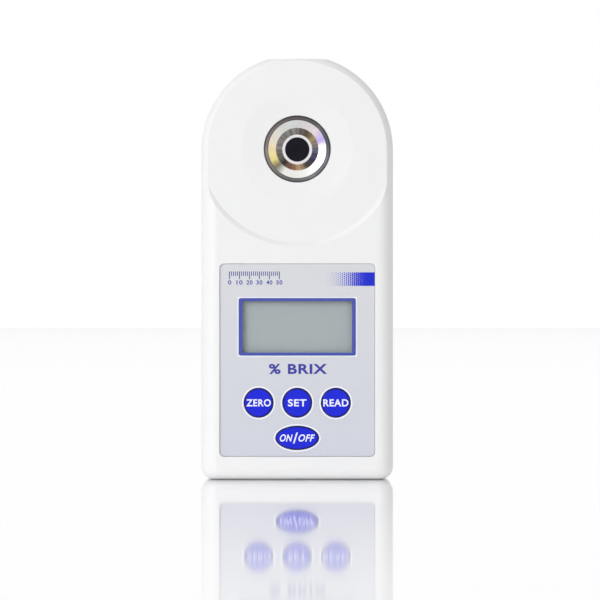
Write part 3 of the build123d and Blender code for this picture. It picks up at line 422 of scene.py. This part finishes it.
def key_finish(node):
    low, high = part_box(node)
    finish = Finish(node.replace("_", " ") + " plastic")
    centre = (low + high) / 2
    x, _, z = finish.axes(tuple(centre))
    # The box holds the hidden flange too, so the cap is smaller than it by the flange
    half_w = (high.x - low.x) / 2 - FLANGE_W - KEY_RIM_W
    half_h = (high.z - low.z) / 2 - FLANGE_W - KEY_RIM_W
    away = ((x / half_w) ** 2 + (z / half_h) ** 2).root()
    # Painted shade: the rounded edge of the cap is darkened where it turns away from the light
    soft = finish.node("ShaderNodeClamp", None, {0: (away - EDGE_START) / EDGE_SOFT})
    cloud = finish.noise(3 * MM)
    face = finish.mix(cloud, KEY_BLUE, ink(20, 36, 216))
    return finish.surface(
        base_color=finish.mix(soft, face, KEY_EDGE_SHADE),
        roughness=0.3 + (finish.noise(0.12 * MM) - 0.5) * 0.12,
        normal=finish.bump(finish.noise(0.15 * MM), 0.003 * MM),
        specular_ior_level=0.25,
    )


# %% [markdown]
# Turned steel. The well is turned on a lathe and polished, so its marks run round the axis. Rings of
# slightly different height and gloss follow the distance from the axis. The warm and cool spots and the
# streaks that the real steel mirrors from its surroundings are painted into its colour as painted
# reflections, so its colour drifts with the angle. The dark edges of its rim are painted shade.

# %% Steel finish
LIP_R = 4.5 * MM
CONE_R = 6.45 * MM
BAND_R = 8.75 * MM
RIM_INNER_R = 8.95 * MM
RIM_OUTER_R = 9.68 * MM
RING_PITCH = 0.09 * MM
STREAKS = 34


def turned_steel():
    low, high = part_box("sample_dish")
    centre = (low + high) / 2
    finish = Finish("turned steel")
    x, _, z = finish.axes(tuple(centre))
    radius = (x * x + z * z).root()
    turn = z.angle_to(x) / (2 * pi) + 0.5
    wobble = finish.noise(5 * MM)
    rings = (radius / RING_PITCH * 2 * pi + wobble * 4).sine() * 0.5 + 0.5
    # Painted reflections: warm, cool, bright and dark spots that the steel mirrors, set by the angle round
    # the axis
    cone_painted_reflection = finish.ramp(
        turn + (wobble - 0.5) * 0.04,
        [
            (0.0, ink(206, 198, 194)),
            (0.12, ink(84, 82, 86)),
            (0.2, ink(196, 146, 114)),
            (0.27, ink(250, 210, 168)),
            (0.33, ink(100, 92, 84)),
            (0.42, ink(82, 82, 120)),
            (0.5, ink(130, 132, 156)),
            (0.6, ink(220, 196, 140)),
            (0.66, ink(110, 96, 88)),
            (0.8, ink(186, 186, 184)),
            (1.0, ink(206, 198, 194)),
        ],
    )
    band_painted_reflection = finish.ramp(
        turn + (wobble - 0.5) * 0.03,
        [
            (0.0, ink(172, 156, 124)),
            (0.07, ink(184, 174, 108)),
            (0.12, ink(120, 112, 96)),
            (0.17, ink(232, 230, 226)),
            (0.4, ink(236, 238, 236)),
            (0.52, ink(250, 252, 252)),
            (0.56, ink(186, 168, 236)),
            (0.62, ink(226, 214, 218)),
            (0.8, ink(218, 222, 220)),
            (0.92, ink(192, 188, 178)),
            (1.0, ink(172, 156, 124)),
        ],
    )
    rim_painted_reflection = finish.ramp(
        turn,
        [
            (0.0, ink(150, 140, 136)),
            (0.2, ink(110, 108, 108)),
            (0.45, ink(112, 112, 120)),
            (0.6, ink(84, 86, 90)),
            (0.8, ink(104, 98, 98)),
            (1.0, ink(150, 140, 136)),
        ],
    )
    # Painted reflection streaks, dark lines that run towards the axis, depend on the angle alone
    around = {"W": turn * STREAKS, "Scale": 1.0, "Detail": 4.0}
    spokes = finish.node("ShaderNodeTexNoise", {"noise_dimensions": "1D"}, around)
    streaks = finish.node("ShaderNodeClamp", None, {0: (spokes - 0.42) * 3.2})
    streaked_reflection = finish.mix(streaks * 0.6, cone_painted_reflection, ink(54, 50, 54))
    inner = finish.mix(radius > LIP_R, ink(232, 230, 232), streaked_reflection)
    middle = finish.mix(radius > CONE_R, inner, band_painted_reflection)
    # Painted shade: the rim is darkened along its inner and outer edges, where the groove lies in shadow
    edge = (radius > RIM_OUTER_R) + (radius < RIM_INNER_R) * 0.7
    rim = finish.mix(edge * 0.7, rim_painted_reflection, ink(40, 40, 44))
    tint = finish.mix(radius > BAND_R, middle, rim)
    cone = within(radius, LIP_R, CONE_R)
    return finish.surface(
        base_color=tint,
        metallic=0.9 - cone * 0.5,
        roughness=0.2 + rings * 0.08,
        normal=finish.bump(rings, 0.0012 * MM),
    )


# %% [markdown]
# Glass and display. The pane in front of the display is a clear sheet that mirrors a little. The display
# itself is switched off: a grey-green reflector behind the liquid crystal, darkest along its upper and
# left edges, where the frame's shadow falls. The prism's window looks black because the housing behind it
# is dark.


# %% Glass finishes
def clear_pane():
    finish = Finish("clear pane")
    smear = finish.noise(9 * MM, 4.0)
    return finish.surface(
        base_color=finish.mix(smear, ink(250, 252, 252), ink(240, 246, 246)),
        roughness=0.05 + smear * 0.05,
        alpha=0.06 + smear * 0.03,
    )


SHADOW_W = 3.2 * MM
SHADOW_H = 3.0 * MM


def display_finish():
    finish = Finish("display reflector")
    low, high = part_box("display_frame")
    x, _, z = finish.axes()
    left = finish.node("ShaderNodeClamp", None, {0: (x - low.x) / SHADOW_W})
    top = finish.node("ShaderNodeClamp", None, {0: (high.z - z) / SHADOW_H})
    shade = left * top
    fine = finish.cells(0.2 * MM)
    tone = finish.mix(shade, ink(108, 120, 128), ink(150, 162, 164))
    return finish.surface(
        base_color=finish.mix(fine * 0.2, tone, ink(170, 182, 182)),
        roughness=0.5 + fine * 0.1,
        normal=finish.bump(fine, 0.003 * MM),
    )


def prism_finish():
    finish = Finish("prism glass")
    depth = finish.noise(2.5 * MM)
    return finish.surface(
        base_color=finish.mix(depth, ink(8, 6, 14), ink(22, 20, 34)),
        roughness=0.06 + depth * 0.05,
        specular_ior_level=0.12,
    )


def lens_finish():
    finish = Finish("lens glass")
    haze = finish.noise(1.5 * MM)
    return finish.surface(
        base_color=finish.mix(haze, ink(214, 228, 236), ink(232, 240, 246)),
        roughness=0.05 + haze * 0.04,
        alpha=0.35 + haze * 0.1,
    )


# %% [markdown]
# Inner pieces. Nobody sees the boards, chips and contacts until the meter is opened, but each still gets
# the finish of the real thing: green solder mask with tracks, dull black moulded chips, amber film with
# copper lines, and brushed nickel on the contacts.

# %% Inner finishes
TRACK_PITCH = 1.6 * MM
FILM_PITCH = 1.0 * MM
CELL_END = 1.6 * MM


def board_finish():
    finish = Finish("board mask")
    x, _, z = finish.axes()
    wave = finish.noise(6 * MM)
    track = ((x + z * 0.5 + wave * 2 * MM) / TRACK_PITCH).fraction() < 0.3
    gate = finish.noise(9 * MM) > 0.52
    return finish.surface(
        base_color=finish.mix(track * gate, ink(24, 92, 50), ink(44, 122, 70)),
        roughness=0.34 + wave * 0.1,
        normal=finish.bump(track * gate, 0.03 * MM),
    )


def flex_finish():
    finish = Finish("amber film")
    line = (finish.axes()[0] / FILM_PITCH).fraction() < 0.5
    wave = finish.noise(3 * MM)
    return finish.surface(
        base_color=finish.mix(line, ink(206, 132, 48), ink(168, 96, 34)),
        roughness=0.3 + wave * 0.15,
        normal=finish.bump(line, 0.02 * MM),
    )


def brushed_metal(name, colour, stretch, roughness=0.3, worn=0.0):
    """Metal with fine scratches along one direction: the noise is stretched along it."""
    finish = Finish(name)
    scratch = finish.noise(0.15 * MM, 3.0, stretch)
    patch = finish.noise(4 * MM)
    dark = tuple(value * 0.72 for value in colour)
    return finish.surface(
        base_color=finish.mix(patch * 0.4 + scratch * 0.3, colour, dark),
        metallic=0.95 - patch * worn,
        roughness=roughness + (scratch - 0.5) * 0.2,
        normal=finish.bump(scratch, 0.003 * MM),
    )


def cell_finish():
    """Printed wrap of a cell: a plain slate jacket with silver ends and a fine sheen."""
    finish = Finish("cell wrap")
    z = finish.axes()[2]
    low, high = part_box("battery_left")
    wave = finish.noise(5 * MM)
    jacket = finish.mix(wave, ink(62, 88, 112), ink(72, 100, 124))
    bare = (z > high.z - CELL_END) + (z < low.z + CELL_END)
    return finish.surface(
        base_color=finish.mix(bare, jacket, ink(196, 196, 198)),
        roughness=0.28 + wave * 0.12,
        metallic=bare * 0.85,
        normal=finish.bump(finish.noise(0.4 * MM), 0.004 * MM),
    )


def ceramic_finish():
    finish = Finish("capacitor ceramic")
    wave = finish.noise(0.4 * MM)
    return finish.surface(
        base_color=finish.mix(wave, ink(176, 140, 96), ink(150, 116, 78)),
        roughness=0.45 + wave * 0.1,
    )


# %% [markdown]
# Which piece gets which finish. The model's record names a material slot for every piece. A table from
# slot to finish is enough for all but the keys: each of those gets its own finish, because its rim is
# measured from its own middle.

# %% Give every piece of the CAD model its finish
finishes = {
    "case_white": moulded("white case plastic", ink(239, 239, 239), ink(235, 236, 237), 0.4, seam=True),
    "door_white": moulded("white door plastic", ink(237, 237, 239), ink(233, 234, 237), 0.42),
    "panel_silver": panel_finish(),
    "frame_blue": moulded("blue frame plastic", ink(68, 78, 168), ink(78, 90, 180), 0.35, gloss=0.25),
    "clear_pane": clear_pane(),
    "lcd": display_finish(),
    "steel": turned_steel(),
    "prism_glass": prism_finish(),
    "lens_glass": lens_finish(),
    "black_plastic": moulded("black housing plastic", ink(30, 30, 32), ink(38, 38, 40), 0.55),
    "white_plastic": moulded("milky plastic", ink(222, 222, 216), ink(212, 212, 206), 0.5),
    "board_green": board_finish(),
    "chip_black": moulded("chip resin", ink(34, 34, 36), ink(46, 46, 48), 0.6, grain=0.1 * MM),
    "capacitor_tan": ceramic_finish(),
    "can_metal": brushed_metal("can metal", ink(206, 206, 208), (1, 1, 12)),
    "flex_orange": flex_finish(),
    "seal_rubber": moulded("seal rubber", ink(34, 34, 34), ink(46, 46, 46), 0.7, grain=0.3 * MM),
    "contact_metal": brushed_metal("contact nickel", ink(214, 208, 192), (12, 1, 1), worn=0.1),
    "spring_steel": brushed_metal("spring steel", ink(200, 200, 202), (6, 6, 1), 0.26),
    "screw_metal": brushed_metal("screw zinc", ink(192, 194, 198), (1, 8, 1), 0.34, worn=0.1),
    "cell_wrap": cell_finish(),
}
for part in frame["record"]["subparts"]:
    node, slot = part["node"], part["material_slot"]
    material = key_finish(node) if slot == "key_blue" else finishes[slot]
    nodes[node].data.materials.clear()
    nodes[node].data.materials.append(material)

# %% [markdown]
# Printed words. Ink lies two hundredths of a millimetre above the surface that it is printed on. A text
# object gets a thickness and is made a mesh. Then it is stretched to its printed width, height and
# thickness, and stood upright on the flat key or panel. On a round cell it would sink in, so there a flat
# text is cut into small faces first, projected on the cell, and given its thickness last.

# %% Helper for printed words
INK_T = 0.02 * MM
LETTER_SPACE = 1.1
MERGE = 0.001 * MM
CURVE_STEPS = 6
# Any depth will do here, as it is scaled to the ink's own afterwards
TEXT_DEPTH = 0.1


def settle(piece, name, body, material):
    """Names a finished piece, gives it its ink, and hangs it on a body of the model."""
    piece.name = name
    piece.data.name = name
    piece.data.materials.clear()
    piece.data.materials.append(material)
    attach(piece, body)


def lay_on(piece, target):
    """Projects a flat piece along its depth on another one, and gives it the thickness of ink."""
    wrap = piece.modifiers.new("lay on", "SHRINKWRAP")
    wrap.target = target
    wrap.wrap_method = "PROJECT"
    wrap.use_project_x = False
    wrap.use_project_y = True
    wrap.use_project_z = False
    wrap.use_positive_direction = True
    wrap.use_negative_direction = True
    bpy.ops.object.modifier_apply(modifier=wrap.name)
    wall = piece.modifiers.new("ink", "SOLIDIFY")
    wall.thickness = INK_T
    wall.offset = 1
    bpy.ops.object.modifier_apply(modifier=wall.name)


def stand_upright(piece, centre, target, behind=False, away=1 * MM):
    """Turns a flat piece to face the front or the back, some way off the piece that it is printed on."""
    low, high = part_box(target)
    piece.rotation_euler = (radians(90), 0, radians(180) if behind else 0)
    piece.location = (centre[0], high.y + away if behind else low.y - away, centre[1])
    bpy.ops.object.transform_apply(location=True, rotation=True, scale=True)


def printed(
    name, words, centre, width, height, target, body, slot, material,
    weight=0.0, slant=0.0, behind=False, cuts=0,
):
    """Words printed on a piece, with their middle given across and up. Cuts let them follow a curve."""
    bpy.ops.object.select_all(action="DESELECT")
    bpy.ops.object.text_add()
    piece = bpy.context.object
    piece.data.body = words
    piece.data.align_x = "CENTER"
    piece.data.align_y = "CENTER"
    piece.data.offset = weight
    piece.data.shear = slant
    piece.data.space_character = LETTER_SPACE
    piece.data.resolution_u = CURVE_STEPS
    piece.data.extrude = 0 if cuts else TEXT_DEPTH
    bpy.ops.object.convert(target="MESH")
    piece = bpy.context.object
    bpy.ops.object.origin_set(type="ORIGIN_GEOMETRY", center="BOUNDS")
    piece.location = (0, 0, 0)
    size = piece.dimensions.copy()
    piece.scale = (width / size.x, height / size.y, 1 if cuts else INK_T / size.z)
    bpy.ops.object.transform_apply(location=True, rotation=True, scale=True)
    bpy.ops.object.mode_set(mode="EDIT")
    bpy.ops.mesh.select_all(action="SELECT")
    bpy.ops.mesh.remove_doubles(threshold=MERGE)
    if cuts:
        bpy.ops.mesh.quads_convert_to_tris()
        bpy.ops.mesh.subdivide(number_cuts=cuts)
    bpy.ops.object.mode_set(mode="OBJECT")
    if cuts:
        stand_upright(piece, centre, target, behind)
        lay_on(piece, nodes[target])
    else:
        stand_upright(piece, centre, target, behind, INK_T / 2)
    settle(piece, name, body, material)


def ink_finish(name, colour, shade):
    """Screen print: nearly even, a little uneven where the ink ran thin."""
    finish = Finish(name)
    thin = finish.noise(0.5 * MM)
    return finish.surface(
        base_color=finish.mix(thin, colour, shade),
        roughness=0.36 + thin * 0.1,
        normal=finish.bump(thin, 0.003 * MM),
    )


# %% Words on the keys
white_ink = ink_finish("white ink", ink(244, 246, 252), ink(228, 232, 246))
blue_ink = ink_finish("blue ink", ink(44, 42, 148), ink(54, 54, 160))

KEY_WEIGHT = 0.025
# Key, name of the piece, words, shift from the key's middle, width and height in mm, slant
KEY_WORDS = [
    ("left", "legend", "ZERO", 0, 7.4, 2.2, 0.0),
    ("middle", "legend", "SET", 0, 5.6, 2.2, 0.0),
    ("right", "legend", "READ", 0, 7.6, 2.2, 0.0),
    ("power", "on", "ON", -3.3, 3.9, 2.2, 0.3),
    ("power", "stroke", "/", -0.55, 1.5, 3.3, 0.1),
    ("power", "off", "OFF", 2.85, 5.0, 2.2, 0.3),
]
for key, kind, words, shift, width, height, slant in KEY_WORDS:
    low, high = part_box(f"key_{key}")
    middle = ((low.x + high.x) / 2 + shift * MM, (low.z + high.z) / 2)
    printed(
        f"{key}_key_{kind}", words, middle, width * MM, height * MM, f"key_{key}", f"{key}_key", "key_blue",
        white_ink, weight=KEY_WEIGHT, slant=slant,
    )
print("pieces of lettering on the keys", len(KEY_WORDS))

# %% [markdown]
# Marks on the cells. The two cells lie head to tail, as the contacts need it, so their marks are the
# other way round from each other: the left cell has its plus at the top, the right one at the bottom.

# %% Marks on the cells
MARK_W = 2.8 * MM
MARK_AWAY = 15 * MM
MARK_CUTS = 9
# Cell, name of the mark, mark, its height, its way from the cell's middle
CELL_MARKS = [
    ("left", "plus", "+", 2.8 * MM, 1),
    ("left", "minus", "-", 0.6 * MM, -1),
    ("right", "plus", "+", 2.8 * MM, -1),
    ("right", "minus", "-", 0.6 * MM, 1),
]
for cell, word, mark, height, way in CELL_MARKS:
    low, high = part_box(f"battery_{cell}")
    place = ((low.x + high.x) / 2, (low.z + high.z) / 2 + way * MARK_AWAY)
    printed(
        f"{cell}_cell_{word}", mark, place, MARK_W, height, f"battery_{cell}", "case", "cell_wrap",
        white_ink, behind=True, cuts=MARK_CUTS,
    )
print("marks on the cells", len(CELL_MARKS))

# %% [markdown]
# Print on the panel. Under the display stands the unit that the meter shows. The upper left corner has a
# small scale of plain numbers from 0 to 50, the range of sugar in percent, with a long line for every ten
# and a short one for every two.

# %% Unit and numbers on the panel
UNIT_PLACE = (0.24 * MM, 33.4 * MM)
UNIT_W = 17.6 * MM
UNIT_H = 3.1 * MM
PANEL_INK = ("panel_overlay", "case", "panel_silver", blue_ink)
printed("unit_print", "% BRIX", UNIT_PLACE, UNIT_W, UNIT_H, *PANEL_INK, weight=0.03)

SCALE_LEFT = -20.4 * MM
SCALE_STEP = 3.0 * MM
SCALE_TOP = 62.8 * MM
NUMBER_Z = 59.5 * MM
NUMBER_H = 1.3 * MM
DIGIT_W = 0.85 * MM
DIGIT_MORE = 0.15 * MM
TENS = 6
for count in range(TENS):
    number = str(count * 10)
    place = (SCALE_LEFT + count * SCALE_STEP, NUMBER_Z)
    width = DIGIT_W * len(number) + DIGIT_MORE
    printed(f"scale_number_{number}", number, place, width, NUMBER_H, *PANEL_INK, weight=0.02)
print("numbers on the scale", TENS)

# %% Lines of the printed scale
LINE_W = 0.24 * MM
LONG_LINE = 2.3 * MM
SHORT_LINE = 1.3 * MM
LINES_PER_TEN = 5


def scale_lines(name, count, step, length):
    """A row of upright lines that hang from the same height, made once and repeated."""
    bpy.ops.object.select_all(action="DESELECT")
    bpy.ops.mesh.primitive_plane_add(size=1)
    piece = bpy.context.object
    piece.scale = (LINE_W, length, 1)
    bpy.ops.object.transform_apply(location=True, rotation=True, scale=True)
    row = piece.modifiers.new("row", "ARRAY")
    row.count = count
    row.use_relative_offset = False
    row.use_constant_offset = True
    row.constant_offset_displace = (step, 0, 0)
    bpy.ops.object.modifier_apply(modifier=row.name)
    stand_upright(piece, (SCALE_LEFT, SCALE_TOP - length / 2), "panel_overlay")
    lay_on(piece, nodes["panel_overlay"])
    settle(piece, name, "case", blue_ink)


scale_lines("scale_long_lines", TENS, SCALE_STEP, LONG_LINE)
scale_lines("scale_short_lines", (TENS - 1) * LINES_PER_TEN + 1, SCALE_STEP / LINES_PER_TEN, SHORT_LINE)
print("lines on the scale", TENS + (TENS - 1) * (LINES_PER_TEN - 1))
